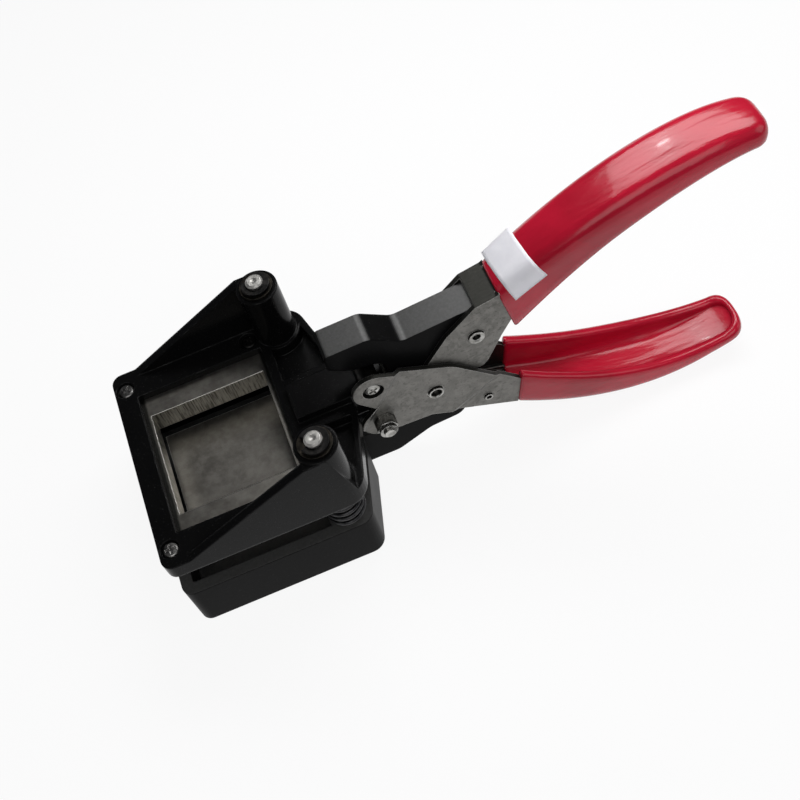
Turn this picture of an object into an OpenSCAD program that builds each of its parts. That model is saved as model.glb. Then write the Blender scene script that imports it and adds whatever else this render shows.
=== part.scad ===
// Hand-held id photo punch. A die frame slides on two guide posts over a fixed punch block.
// The forked lower handle presses it down, and two springs lift it back against the snap rings.
// Millimetres, +Z up. X runs from the cutting end to the handles and Y across the tool.
// The origin is on the base's bottom face, under the centre of the cut.

/* [Cut] */
// Length of the cut along the tool
cut_length = 35; // [30:0.5:40]
// Width of the cut across the tool
cut_width = 35; // [30:0.5:40]
// Clearance between punch and die on each side
cut_gap = 0.03; // [0.02:0.01:0.08]
// How far the punch enters the die at the end of the stroke
punch_entry = 0.7; // [0.4:0.1:1.2]
// Thickness of the die plate
die_h = 7.5; // [6.5:0.1:7.8]
// How far the die plate stands below the frame casting
die_drop = 4.5; // [4:0.1:5]

/* [Die frame] */
// Height of the throat floor of the frame above the table at rest
frame_z = 30; // [28:0.5:33]
// Width of the front bar
front_bar = 6.4; // [5.6:0.1:8]
// Steel ledge seen in front of and behind the cut
ledge_x = 1.7; // [1:0.1:2.5]
// Steel ledge seen beside the cut
ledge_y = 6.5; // [5:0.5:8]
// Width of each side rail with its wall
rail_w = 10; // [9.5:0.5:13]
// Thickness of the gusset walls
wall_t = 2.6; // [2:0.1:3.2]
// Height of the deck round the window
deck_h = 5.5; // [5:0.1:7]
// Height of the post bosses above the frame bottom
boss_h = 26.4; // [22:0.4:29]
// Radius of the post bosses
boss_r = 6; // [5.4:0.1:6.6]
// Setback of the guide posts behind the window
post_setback = 6.3; // [5.8:0.1:9]
// Setback of the frame's rear edge behind the posts
rear_setback = 12.9; // [11:0.1:16]
// Half width of the drive tongue
tongue_half = 6.2; // [5:0.1:6.3]

/* [Base] */
// Height of the base rim
base_h = 18; // [14:0.5:19]
// Thickness of the base floor
floor_h = 5; // [4:0.5:7]
// Thickness of the base rim
rim_t = 3.5; // [2.6:0.1:4.5]
// Height of the spring seats
seat_h = 18; // [15:0.5:18.5]
// Half thickness of the neck behind the throat
neck_half = 4.8; // [4:0.1:4.8]
// Height of the arm's top face
arm_top = 57.6; // [56:0.2:61]
// Drop of the arm's top face at its step
arm_step = 6; // [4:0.5:7]

/* [Guides] */
// Radius of the guide posts
post_r = 2.5; // [2:0.1:2.6]
// Height of the guide posts above the bush flange
post_tip = 2.4; // [2:0.1:4]
// Radial thickness of the guide bushes
bush_t = 1.1; // [0.8:0.1:1.6]
// Running clearance on the posts and the pivot
run_gap = 0.05; // [0.02:0.01:0.08]
// Clearance of pieces that are seated on each other
seat_gap = 0.04; // [0.02:0.01:0.1]
// Wire diameter of the return springs
wire_d = 1.3; // [1:0.1:1.4]
// Mean radius of the return springs
coil_r = 5.3; // [4.8:0.1:5.4]
// Turns of the return springs
coil_turns = 4; // [3:0.5:4]

/* [Lever] */
// Swing of the lower handle in degrees
lever_swing = 17; // [12:0.5:18]
// Stroke of the die frame
die_stroke = 5.45; // [4:0.05:5.6]
// Reach of the pivot behind the frame
pivot_reach = 23.1; // [22.5:0.1:26]
// Height of the pivot below the frame bottom
pivot_drop = 2.8; // [2.4:0.1:4]
// Radius of the pivot pin
pivot_r = 2.7; // [2.2:0.1:3.2]
// Radius of the fork rollers
roller_r = 3; // [2.6:0.1:3.2]
// Radius of the screw and the bolt in the fork rollers
fork_pin_r = 1.6; // [1.4:0.1:1.9]
// Thickness of the lever plates
lever_t = 1.5; // [1.2:0.1:1.8]
// Angle of the front bends across the lever plates
fork_bend_angle = 55; // [50:1:58]
// Angle of the rear bends across the lever plates
channel_bend_angle = 32; // [28:1:40]

/* [Handles] */
// Thickness of the fixed handle's steel
handle_t = 1.6; // [1.2:0.1:1.8]
// Radius of the rivet in the fixed handle
rivet_r = 2.2; // [1.8:0.1:2.6]
// Bend radius of the steel channels
bend_r = 2.6; // [2.2:0.1:3]
// Reach of the fixed handle's steel behind the pivot
handle_reach = 97.8; // [92:0.2:106]
// Thickness of the vinyl grips
vinyl_t = 0.9; // [0.8:0.1:1.2]
// Thickness of the vinyl at the end of the tips
tip_wall = 1.6; // [1.2:0.1:2]
// Depth of the upper channel at the front of its grip
grip_h = 12.8; // [11:0.2:13.4]
// Depth of the upper channel half way along
mid_h = 8.3; // [7.6:0.1:9.6]
// Depth of the upper channel at its tip
tip_h = 4.8; // [4:0.1:6]
// Depth of the lower channel at the front of its grip
lever_h = 11.6; // [10:0.2:12]
// Depth of the lower channel half way along
lever_mid_h = 9; // [8:0.1:10]
// Depth of the lower channel at its tip
lever_tip_h = 3.4; // [3.2:0.1:5]

/* [Hidden] */
$fn = 48;
eps = 0.01;

// Plan of the window, the frame and the posts
window_half = cut_width / 2 + ledge_y;
window_end = cut_length / 2 + ledge_x;
front_x = -window_end - front_bar;
frame_half = window_half + rail_w;
post_x = window_end + post_setback;
post_y = frame_half - boss_r;
rear_x = post_x + rear_setback;
corner_r = 3.2;
rear_corner_r = 7;
tail_half = 11;
base_short = 1.4;
bar_t = 3;
rib_half = 9.8;
collar_t = 1.1;
rear_rim_t = 2;
pocket_floor = 1.8;
base_corner_r = 4.5;

// Levels of the die and the punch
die_z = frame_z - die_drop;
die_top = die_z + die_h;
deck_top = frame_z + deck_h;
boss_top = frame_z + boss_h;
punch_top = die_z - die_stroke + punch_entry;
die_front = front_x + 1.5;
die_rear = window_end + 2.7;
die_half = frame_half - wall_t - 0.4;

// Crosshead screws that hold the die plate
screw_r = 1.5;
screw_head_r = 2.3;
screw_head_h = 0.95;
sink_r = 2.7;
sink_h = 1.2;
screw_y = frame_half - wall_t - sink_r - 0.7;
screw_front_x = front_x + front_bar / 2 + 0.2;
screw_rear_x = post_x - boss_r - sink_r - 0.3;

// Bushes, snap rings and posts
bush_r = post_r + run_gap + bush_t;
flange_r = bush_r + 1.2;
flange_h = 0.8;
ring_h = 1;
ring_z = boss_top + seat_gap + flange_h + 0.1;
groove_depth = 0.4;
ring_r = post_r + 1.65;
post_top = boss_top + flange_h + post_tip;
post_foot = 1.5;

// Pins of the lever, from the pivot
pivot_z = frame_z - pivot_drop;
pivot = [rear_x + pivot_reach, pivot_z];
fork_pin = pivot + [-16.8, 14.1];
drive_pin = pivot + [-16.6, -3];
rivet_pos = pivot + [15.4, 15.5];
spacer_pos = pivot + [14.8, -14.5];
spacer_r = 1.55;
rivet_head_r = rivet_r + 0.45;
sunk = 0.7;
roller_proud = 0.3;
screw_tail = 3;
bolt_tail = 5.4;
bolt_head_h = 2.6;
nut_flats = 5.5;
fork_nut_flats = 5;

// Half widths of the nested plates, from the neck outward
side_gap = 0.1;
plate_gap = 0.3;
handle_in = neck_half + side_gap;
handle_out = handle_in + handle_t;
lever_in = handle_out + plate_gap;
lever_out = lever_in + lever_t;
fork_step = 1.4;
fork_in = lever_in + fork_step;
fork_out = fork_in + lever_t;
channel_in = handle_in + 0.9;
channel_out = channel_in + lever_t;

// Radii of the lever's outline
hub_r = 10.7;
fork_lobe_r = 5.9;
drive_lobe_r = 6.8;
waist_r = 7.9;
waist_pos = pivot + [12.4, -9.5];
bend_run = 2;
fork_bend = -16.9;
channel_bend = 14.2;

// The tongue lies between the rollers. The lower roller drops less than the frame does.
drive_gap = 0.2;
drive_rel = drive_pin - pivot;
drive_fall = -(drive_rel[0] * sin(lever_swing) + drive_rel[1] * (cos(lever_swing) - 1));
tongue_top = fork_pin[1] - roller_r - drive_gap;
tongue_bottom = drive_pin[1] + roller_r + max(0, die_stroke - drive_fall) + drive_gap;
tongue_end = drive_pin[0] + 4.6;

// Back lines of the two handles as cubic curves, from the pivot
upper_root = 23.2;
lower_root = 22.5;
lower_reach = handle_reach - 3.2;
function reach_x(root, reach, share) = root + (reach - root) * share;
upper_curve = [
  pivot + [upper_root, 29.2],
  pivot + [reach_x(upper_root, handle_reach, 0.3236), 45],
  pivot + [reach_x(upper_root, handle_reach, 0.7454), 56.4],
  pivot + [handle_reach, 53.2]
];
lower_curve = [
  pivot + [lower_root, -23.4],
  pivot + [reach_x(lower_root, lower_reach, 0.2936), -37.2],
  pivot + [reach_x(lower_root, lower_reach, 0.6941), -45.4],
  pivot + [lower_reach, -38]
];
grip_steps = 14;
grip_gap = 0.02;
steel_inset = 0.04;
grip_skin = grip_gap + vinyl_t;
tip_len = 5.6;
tip_blunt = 0.985;
upper_flare = 1.7;
lower_flare = 2.2;
grip_start = 0.02;

// Springs round the posts, one unbroken tube each
spring_low = seat_h + seat_gap;
spring_high = frame_z - seat_gap;
spring_r = coil_r + wire_d / 2;
spring_clear = 0.5;
coil_rings = 8;
coil_sides = 6;

// A closed outline with each corner rounded by its own radius
function corner_arc(a, b, c, r, n = 7) =
  let (u = (a - b) / norm(a - b), v = (c - b) / norm(c - b), half = acos(u * v) / 2)
  r <= 0 ? [b] :
  let (reach = r / tan(half), s = b + u * reach, e = b + v * reach)
  let (m = b + (u + v) / norm(u + v) * r / sin(half))
  let (a0 = atan2(s[1] - m[1], s[0] - m[0]), a1 = atan2(e[1] - m[1], e[0] - m[0]))
  let (turn = a1 - a0 > 180 ? a1 - a0 - 360 : a1 - a0 < -180 ? a1 - a0 + 360 : a1 - a0)
  [for (i = [0:n]) m + r * [cos(a0 + turn * i / n), sin(a0 + turn * i / n)]];

function rounded(p, r) =
  let (k = len(p))
  [for (i = [0:k - 1]) each corner_arc(p[(i + k - 1) % k], p[i], p[(i + 1) % k], r[i])];

// Plan shared by the frame and the base, drawn in by the given inset and cut short at the rear
function plan(i = 0, short = 0, rear_r = rear_corner_r) =
  let (back = post_x + 7.2 - short - 0.8 * i) rounded([
  [front_x + i, -frame_half + i],
  [back, -frame_half + i],
  [rear_x - short - i, -tail_half],
  [rear_x - short - i, tail_half],
  [back, frame_half - i],
  [front_x + i, frame_half - i]
], [max(corner_r - i, 0.5), max(rear_r - i, 1), 4, 4, max(rear_r - i, 1), max(corner_r - i, 0.5)]);

// Two circles joined by straight sides a hair inside their tangents, so each side crosses its circles clearly
module link2d(a, ra, b, rb) {
  d = b - a;
  turn = atan2(d[1], d[0]);
  open = acos((ra - rb) / norm(d));
  near = ra - 0.03;
  far = rb - 0.03;
  translate(a) circle(ra);
  translate(b) circle(rb);
  polygon([
    a + near * [cos(turn + open), sin(turn + open)],
    b + far * [cos(turn + open), sin(turn + open)],
    b + far * [cos(turn - open), sin(turn - open)],
    a + near * [cos(turn - open), sin(turn - open)]
  ]);
}

// A side view, drawn as X and Z, made solid across the tool between two Y values
module across(y0, y1) {
  translate([0, y1, 0]) rotate([90, 0, 0]) linear_extrude(y1 - y0) children();
}

// A round bar or hole across the tool
module cross_bar(p, r, y0, y1) {
  translate([p[0], y1, p[1]]) rotate([90, 0, 0]) cylinder(r = r, h = y1 - y0);
}

// A hexagon across the tool
module cross_hex(p, flats, y0, y1) {
  translate([p[0], y1, p[1]]) rotate([90, 0, 0]) cylinder(r = flats / sqrt(3), h = y1 - y0, $fn = 6);
}

// The cross cut in a screw head
module cross_slot(width, depth) {
  for (a = [0, 90]) rotate(a) translate([-width / 2, -0.35, -depth]) cube([width, 0.7, depth + 1]);
}

// Point, direction and depth along a handle's back line
function bez(c, t) =
  pow(1 - t, 3) * c[0] + 3 * t * pow(1 - t, 2) * c[1] + 3 * t * t * (1 - t) * c[2] + pow(t, 3) * c[3];
function bez_dir(c, t) =
  let (d = pow(1 - t, 2) * (c[1] - c[0]) + 2 * t * (1 - t) * (c[2] - c[1]) + t * t * (c[3] - c[2]))
  d / norm(d);
function three_point(a, b, c, t) = a * (1 - t) * (1 - 2 * t) + 4 * b * t * (1 - t) + c * t * (2 * t - 1);

// The sections start near upright at the front of the grips and turn square to the back line
function section_dir(c, t) =
  let (d = bez_dir(c, t), a = atan2(d[1], d[0]) * (0.3 + 0.7 * min(1, t / 0.3))) [cos(a), sin(a)];

// Half of a channel's section as pairs of y and depth, grown all round by d
function channel_path(w, depth, r, back) = [
  [-w, -depth],
  [-w, back - r],
  for (a = [157.5:-22.5:90]) [-w + r + r * cos(a), back - r + r * sin(a)],
  for (a = [90:-22.5:22.5]) [w - r + r * cos(a), back - r + r * sin(a)],
  [w, back - r],
  [w, -depth]
];
function outer_path(half, depth, d, wide = 1, tall = 1) =
  let (w = (half + d) * wide, rise = (depth + 2 * d) * tall)
  channel_path(w, depth + d, min(bend_r + d, 0.8 * w, 0.8 * rise), rise - depth - d);
function inner_path(half, wall, depth, d, wide = 1, tall = 1) =
  let (w = (half - wall - d) * wide, rise = (depth - wall) * tall)
  channel_path(w, depth + d, max(bend_r - wall - d, 0.4), rise - depth - d);

// Half width and depth along a handle: flip 1 has the channel's back on top, flip -1 at the bottom
function half_at(t, flip, w) = w + (flip > 0 ? upper_flare * sin(150 * t) : lower_flare * sin(170 * t));
function depth_at(t, flip) =
  flip > 0 ? three_point(grip_h, mid_h, tip_h, t) : three_point(lever_h, lever_mid_h, lever_tip_h, t);

// A path set square on a handle, and the ring of an outer path with the inner one on the way back
function placed(c, t, ahead, flip, path) =
  let (q = bez(c, t) + bez_dir(c, t) * ahead, u = section_dir(c, t))
  [for (s = path) [q[0] - flip * s[1] * u[1], flip * s[0], q[1] + flip * s[1] * u[0]]];
function ring_of(outer, inner) = concat(outer, [for (i = [len(inner) - 1:-1:0]) inner[i]]);
function station(c, t, ahead, flip, w, wall, d, lag = 0) =
  let (b = t - lag * t)
  ring_of(
    placed(c, t, ahead, flip, outer_path(half_at(t, flip, w), depth_at(t, flip), d)),
    placed(c, b, ahead, flip, inner_path(half_at(b, flip, w), wall, depth_at(b, flip), d)));

// A ring of the closed tip, where e runs from 0 at the steel's end to 1. The hollow ends before the skin.
function tip_ring(c, e, flip, w, wall, d) =
  let (half = half_at(1, flip, w), depth = depth_at(1, flip))
  let (wide = pow(1 - pow(e * tip_blunt, 3), 1 / 3), tall = 1 - 0.5 * pow(e, 2.5))
  ring_of(
    placed(c, 1, tip_len * e, flip, outer_path(half, depth, d, wide, tall)),
    placed(c, 1, tip_len * e - tip_wall, flip, inner_path(half, wall, depth, d, wide, tall)));

// Skin of a channel between rings. An open end is a rim, and a closed one has an end face inside and out.
module channel_loft(rings, closed = false) {
  n = len(rings[0]);
  m = n / 2;
  last = len(rings) - 1;
  sides = [for (k = [0:last - 1], i = [0:n - 1]) let (a = k * n + i, b = k * n + (i + 1) % n)
    each [[a, b, b + n], [a, b + n, a + n]]];
  front = [for (i = [0:m - 2]) each [[i, n - 1 - i, n - 2 - i], [i, n - 2 - i, i + 1]]];
  rim = [for (f = front) [f[2], f[1], f[0]]];
  shut = concat(
    [for (i = [1:m - 2]) each [[0, i, i + 1], [m, m + i, m + i + 1]]],
    [[0, m - 1, m], [0, m, n - 1]]);
  back = [for (f = closed ? shut : rim) [for (i = f) i + last * n]];
  polyhedron(points = [for (r = rings) each r], faces = concat(sides, front, back), convexity = 6);
}

module channel_steel(c, flip, w, wall, grow = 0, lead = 0, trail = 0) {
  channel_loft([
    if (lead > 0) station(c, 0, -lead, flip, w, wall, grow),
    for (i = [0:grip_steps]) station(c, i / grip_steps, 0, flip, w, wall, grow),
    if (trail > 0) station(c, 1, trail, flip, w, wall, grow)
  ]);
}

module channel_grip(c, flip, w, wall) {
  lag = tip_wall / norm(c[3] - c[0]);
  difference() {
    channel_loft([
      station(c, grip_start, 0, flip, w, wall, grip_skin - 0.5),
      station(c, grip_start, 0.25, flip, w, wall, grip_skin - 0.15),
      station(c, grip_start, 0.6, flip, w, wall, grip_skin),
      for (i = [1:grip_steps]) station(c, i / grip_steps, 0, flip, w, wall, grip_skin, lag),
      for (e = [0.35, 0.6, 0.78, 0.91, 1]) tip_ring(c, e, flip, w, wall, grip_skin)
    ], true);
    channel_steel(c, flip, w, wall, grip_gap, 4, grip_gap);
  }
}

// Helix of a return spring and its tube
function coil_point(i) = let (n = coil_rings * coil_turns, t = i / n)
  [coil_r * cos(360 * coil_turns * t), coil_r * sin(360 * coil_turns * t),
   spring_low + wire_d / 2 + t * (spring_high - spring_low - wire_d)];
function coil_ring(i) =
  let (p = coil_point(i), a = 360 * i / coil_rings)
  let (rise = (spring_high - spring_low - wire_d) / (360 * coil_turns))
  let (lean = atan2(rise * 180 / PI, coil_r))
  let (out = [cos(a), sin(a), 0], up = [sin(a) * sin(lean), -cos(a) * sin(lean), cos(lean)])
  [for (k = [0:coil_sides - 1]) let (a = 360 * k / coil_sides) p + wire_d / 2 * (cos(a) * out + sin(a) * up)];

module return_spring(side) {
  n = coil_rings * coil_turns;
  m = coil_sides;
  tube = [for (k = [0:n - 1], i = [0:m - 1]) let (a = k * m + i, b = k * m + (i + 1) % m)
    each [[a, b + m, b], [a, a + m, b + m]]];
  ends = [for (i = [1:m - 2]) each [[0, i, i + 1], [n * m, n * m + i + 1, n * m + i]]];
  color("#8d8f92") translate([post_x, side * post_y, 0])
    polyhedron(points = [for (i = [0:n]) each coil_ring(i)], faces = concat(tube, ends), convexity = 10);
}

coil_gap = min([for (i = [0:coil_rings * coil_turns], j = [i + 5:1:coil_rings * coil_turns])
  norm(coil_point(i) - coil_point(j))]) - wire_d;
echo(spring_least_gap_mm = coil_gap);

// Tray with post seats, and the neck and arm that carry the handles
module base_casting() {
  color("#1b1c1e") difference() {
    union() {
      linear_extrude(floor_h) polygon(plan(0, base_short, base_corner_r));
      linear_extrude(base_h) difference() {
        polygon(plan(0, base_short, base_corner_r));
        polygon(plan(rim_t, base_short, base_corner_r));
      }
      for (s = [-1, 1]) translate([post_x, s * post_y, 0]) cylinder(r = boss_r, h = seat_h);
      across(-neck_half, neck_half) neck2d();
    }
    for (s = [-1, 1]) translate([post_x, s * post_y, 0]) {
      translate([0, 0, post_foot]) cylinder(r = post_r + seat_gap, h = seat_h);
      if (seat_h < base_h) translate([0, 0, seat_h]) cylinder(r = spring_r + spring_clear, h = base_h);
    }
    for (x = punch_screws) {
      translate([x, 0, -1]) cylinder(r = 2 + seat_gap, h = floor_h + 2);
      translate([x, 0, -1]) cylinder(r = 3.6, h = 3.4);
    }
    cross_bar(pivot, pivot_r + seat_gap, -neck_half - 1, neck_half + 1);
    cross_bar(rivet_pos, rivet_r + seat_gap, -neck_half - 1, neck_half + 1);
  }
}

punch_screws = [8 - cut_length / 2, cut_length / 2 - 8];

// Side view of the neck: a foot under the throat, a column at the pivot and the stepped arm
module neck2d() {
  front = rear_x - 3;
  bay = pivot[0] - 10.9;
  low = arm_top - arm_step;
  foot_top = 14.5;
  polygon(rounded([
    [rear_x - 6, 0],
    [pivot[0] - 15, 0],
    [pivot[0] - 4, 5],
    [pivot[0] + 6, 5.8],
    [pivot[0] + 10.8, pivot_z - 15],
    [pivot[0] + 13.6, pivot_z - 4],
    [pivot[0] + 20, pivot_z + 8],
    [pivot[0] + 20.4, low + 2.2],
    [pivot[0] + 16, low + 1.8],
    [pivot[0] - 4.4, low],
    [pivot[0] - 13, arm_top + 0.4],
    [front, arm_top],
    [front, arm_top - 6],
    [front + 6, arm_top - 10],
    [bay, arm_top - 11.5],
    [bay, foot_top],
    [rear_x - 6, foot_top]
  ], [0, 6, 8, 4, 4, 5, 4, 1.5, 2, 4, 4, 1.5, 2, 3, 4, 1.2, 0]));
}

// Steel punch on the base floor
module punch_block() {
  color("#9a958c") difference() {
    translate([-cut_length / 2 + cut_gap, -cut_width / 2 + cut_gap, floor_h + seat_gap])
      cube([cut_length - 2 * cut_gap, cut_width - 2 * cut_gap, punch_top - floor_h - seat_gap]);
    for (x = punch_screws) translate([x, 0, floor_h - 1]) cylinder(r = 2 + seat_gap, h = 8);
  }
}

module punch_screw(x) {
  color("#b9bab8") difference() {
    union() {
      translate([x, 0, 0.2]) cylinder(r = 3.4, h = 2.4 - 0.2 - seat_gap);
      translate([x, 0, 1]) cylinder(r = 2, h = floor_h + 4);
    }
    translate([x, 0, 0.2]) rotate([180, 0, 0]) cross_slot(3.6, 1.2);
  }
}

module punch_screw_front() { punch_screw(punch_screws[0]); }
module punch_screw_rear() { punch_screw(punch_screws[1]); }

// Turned post with a snap ring groove and a chamfered end
module guide_post(side) {
  groove = ring_z - 0.05;
  color("#c3c4c2") translate([post_x, side * post_y, 0]) rotate_extrude() polygon([
    [0, post_foot + seat_gap],
    [post_r, post_foot + seat_gap],
    [post_r, groove],
    [post_r - groove_depth, groove],
    [post_r - groove_depth, groove + ring_h + 0.1],
    [post_r, groove + ring_h + 0.1],
    [post_r, post_top - 0.5],
    [post_r - 0.5, post_top],
    [1, post_top],
    [0, post_top - 0.35]
  ]);
}

module guide_post_near() { guide_post(-1); }
module guide_post_far() { guide_post(1); }

// Open snap ring in the post's groove
module snap_ring(side) {
  color("#77797b") translate([post_x, side * post_y, ring_z]) rotate([0, 0, side > 0 ? 150 : 200])
    rotate_extrude(angle = 300) translate([post_r - groove_depth + seat_gap, 0])
      square([ring_r - post_r + groove_depth - seat_gap, ring_h]);
}

module snap_ring_near() { snap_ring(-1); }
module snap_ring_far() { snap_ring(1); }
module return_spring_near() { return_spring(-1); }
module return_spring_far() { return_spring(1); }

// Flanged bush in the boss of the die frame
module guide_bush(side) {
  color("#8c7a55") translate([post_x, side * post_y, 0]) rotate_extrude() polygon([
    [post_r + run_gap, frame_z + 0.4],
    [bush_r, frame_z + 0.4],
    [bush_r, boss_top + seat_gap],
    [flange_r, boss_top + seat_gap],
    [flange_r, boss_top + seat_gap + flange_h],
    [post_r + run_gap, boss_top + seat_gap + flange_h]
  ]);
}

module guide_bush_near() { guide_bush(-1); }
module guide_bush_far() { guide_bush(1); }

// Side view of the frame's walls: low at the front bar, up the gussets, down behind the bosses
module ridge2d() {
  polygon([
    [front_x - 1, frame_z - 1],
    [front_x - 1, deck_top],
    [1.4 - window_end, deck_top],
    [post_x - boss_r + 0.6, boss_top - 0.6],
    [post_x + 1, boss_top - 0.6],
    [post_x + boss_r - 0.6, deck_top],
    [rear_x + 1, deck_top],
    [rear_x + 1, frame_z - 1]
  ]);
}

// Upper die frame: deck round the window, gusset walls, post bosses, ribbed rear and drive tongue
module die_frame() {
  color("#1b1c1e") difference() {
    union() {
      translate([0, 0, frame_z]) linear_extrude(deck_h) polygon(plan());
      intersection() {
        translate([0, 0, frame_z]) linear_extrude(boss_h) difference() {
          polygon(plan());
          polygon(plan(wall_t));
        }
        across(-frame_half - 1, frame_half + 1) ridge2d();
      }
      for (s = [-1, 1]) translate([post_x, s * post_y, frame_z]) cylinder(r = boss_r, h = boss_h);
      translate([window_end + bar_t, -tongue_half, tongue_bottom])
        cube([tongue_end - window_end - bar_t, 2 * tongue_half, tongue_top - tongue_bottom]);
    }
    translate([-window_end, -window_half, die_z]) cube([2 * window_end, 2 * window_half, 30]);
    translate([0, 0, die_z - 1]) linear_extrude(die_h + 1 + seat_gap) die2d(seat_gap);
    translate([0, 0, frame_z + pocket_floor]) linear_extrude(deck_h) pocket2d();
    for (s = [-1, 1]) {
      translate([post_x, s * post_y, frame_z - 1]) cylinder(r = bush_r + seat_gap, h = boss_h + 2);
      for (x = [screw_front_x, screw_rear_x]) translate([x, s * screw_y, 0]) {
        translate([0, 0, frame_z]) cylinder(r = screw_r + seat_gap, h = deck_h + 1);
        translate([0, 0, deck_top - sink_h]) cylinder(r = sink_r, h = sink_h + 1);
      }
    }
  }
}

// Pockets behind the window, between the rear bar, the rim, the bosses and the middle rib
module pocket2d() {
  for (s = [-1, 1]) difference() {
    polygon(plan(rear_rim_t));
    translate([front_x - 1, -frame_half]) square([window_end + bar_t - front_x + 1, 2 * frame_half]);
    translate([post_x, s * post_y]) circle(boss_r + collar_t);
    translate([0, s > 0 ? -frame_half : -rib_half]) square([rear_x, frame_half + rib_half]);
    translate([0, s > 0 ? post_y : -post_y - frame_half]) square([rear_x, frame_half]);
  }
}

// Plan of the die plate, cut back round the springs
module die2d(grow = 0) {
  difference() {
    translate([die_front - grow, -die_half - grow])
      square([die_rear - die_front + 2 * grow, 2 * (die_half + grow)]);
    for (s = [-1, 1]) translate([post_x, s * post_y]) circle(spring_r + 0.4 - grow);
  }
}

// Steel die plate let into the frame from below
module die_plate() {
  color("#a39d93") difference() {
    translate([0, 0, die_z]) linear_extrude(die_h) die2d();
    translate([-cut_length / 2, -cut_width / 2, die_z - 1]) cube([cut_length, cut_width, die_h + 2]);
    for (s = [-1, 1], x = [screw_front_x, screw_rear_x])
      translate([x, s * screw_y, die_top - 3.4]) cylinder(r = screw_r + seat_gap, h = die_h);
  }
}

// Crosshead screw sunk in the deck
module die_screw(x, s) {
  seat = deck_top - sink_h + seat_gap;
  color("#8f9194") translate([x, s * screw_y, 0]) difference() {
    union() {
      translate([0, 0, die_top - 3]) cylinder(r = screw_r, h = seat - die_top + 3.2);
      translate([0, 0, seat]) rotate_extrude() polygon([
        [0, 0],
        [screw_head_r, 0],
        [screw_head_r, screw_head_h * 0.5],
        [screw_head_r * 0.82, screw_head_h * 0.88],
        [screw_head_r * 0.4, screw_head_h],
        [0, screw_head_h]
      ]);
    }
    translate([0, 0, seat + screw_head_h]) rotate(s * 20 + x * 7) cross_slot(screw_head_r * 1.3, 0.6);
  }
}

module die_screw_front_near() { die_screw(screw_front_x, -1); }
module die_screw_front_far() { die_screw(screw_front_x, 1); }
module die_screw_rear_near() { die_screw(screw_rear_x, -1); }
module die_screw_rear_far() { die_screw(screw_rear_x, 1); }

// Side view of the fixed handle's plates, from the grip down to the rivet and the pivot
module handle2d() {
  c = upper_curve[0];
  d = bez_dir(upper_curve, 0);
  u = section_dir(upper_curve, 0);
  polygon(rounded([
    rivet_pos + [1.3, 12.4],
    rivet_pos + [-8.5, 4.3],
    pivot + [0.2, 11.5],
    pivot + [-7.2, 2],
    pivot + [-4.5, -6.8],
    pivot + [5, -6.8],
    pivot + [11, 1.2],
    pivot + [15.9, 0.2],
    c + [-0.6, -17.6],
    c + d * 1.2 + grip_h * [u[1], -u[0]],
    c + d * 1.2,
    c
  ], [1.5, 5, 3, 5, 5, 5, 3, 4, 3, 0, 0, 0]));
}

// Fixed handle: a steel channel with its back up
module upper_handle() {
  c = upper_curve[0];
  slope = rivet_pos + [1.3, 12.4];
  lift = (c - slope) / norm(c - slope);
  under = [lift[1], -lift[0]] * handle_t;
  color("#8b8780") difference() {
    union() {
      for (s = [-1, 1]) across(s > 0 ? handle_in : -handle_out, s > 0 ? handle_out : -handle_in) handle2d();
      intersection() {
        across(-handle_out, handle_out) handle2d();
        across(-handle_out, handle_out)
          polygon([slope, slope + under, c + under + lift * 0.2, c + lift * 0.2]);
      }
      channel_steel(upper_curve, 1, handle_out, handle_t, -steel_inset);
    }
    cross_bar(pivot, pivot_r + seat_gap, -handle_out - 1, handle_out + 1);
    cross_bar(rivet_pos, rivet_head_r + seat_gap, -handle_out - 1, handle_out + 1);
  }
}

module upper_grip() {
  color("#c3162a") channel_grip(upper_curve, 1, handle_out, handle_t);
}

// Rivet whose heads lie sunk in the handle's plates
module handle_rivet() {
  face = handle_out - sunk;
  color("#a9a8a4") translate([rivet_pos[0], 0, rivet_pos[1]]) rotate([90, 0, 0]) rotate_extrude() polygon([
    [0, -face - 0.3],
    [rivet_head_r * 0.6, -face - 0.2],
    [rivet_head_r, -face + 0.2],
    [rivet_head_r, -handle_in],
    [rivet_r, -handle_in],
    [rivet_r, handle_in],
    [rivet_head_r, handle_in],
    [rivet_head_r, face - 0.2],
    [rivet_head_r * 0.6, face + 0.2],
    [0, face + 0.3]
  ]);
}

// Tubular pivot pin with its ends sunk in the lever plates that turn on it
module pivot_pin() {
  face = lever_out - 0.3;
  color("#a9a8a4") translate([pivot[0], 0, pivot[1]]) rotate([90, 0, 0]) difference() {
    rotate_extrude() polygon([
      [0, -face],
      [pivot_r - 0.35, -face],
      [pivot_r, -face + 0.35],
      [pivot_r, face - 0.35],
      [pivot_r - 0.35, face],
      [0, face]
    ]);
    for (m = [0, 1]) mirror([0, 0, m]) translate([0, 0, handle_in]) cylinder(r = pivot_r * 0.55, h = 9);
  }
}

// Side view of the lever: hub at the pivot, two fork lobes, waist and root of the channel
module lever2d() {
  link2d(pivot, hub_r, fork_pin, fork_lobe_r);
  link2d(pivot, hub_r, drive_pin, drive_lobe_r);
  link2d(pivot, hub_r, waist_pos, waist_r);
  root = lower_curve[0] + section_dir(lower_curve, 0) * 0.8;
  rise = lever_h * [-section_dir(lower_curve, 0)[1], section_dir(lower_curve, 0)[0]];
  polygon([
    waist_pos + waist_r * [cos(50), sin(50)],
    root + rise,
    root,
    waist_pos + waist_r * [cos(235), sin(235)]
  ]);
}

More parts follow.
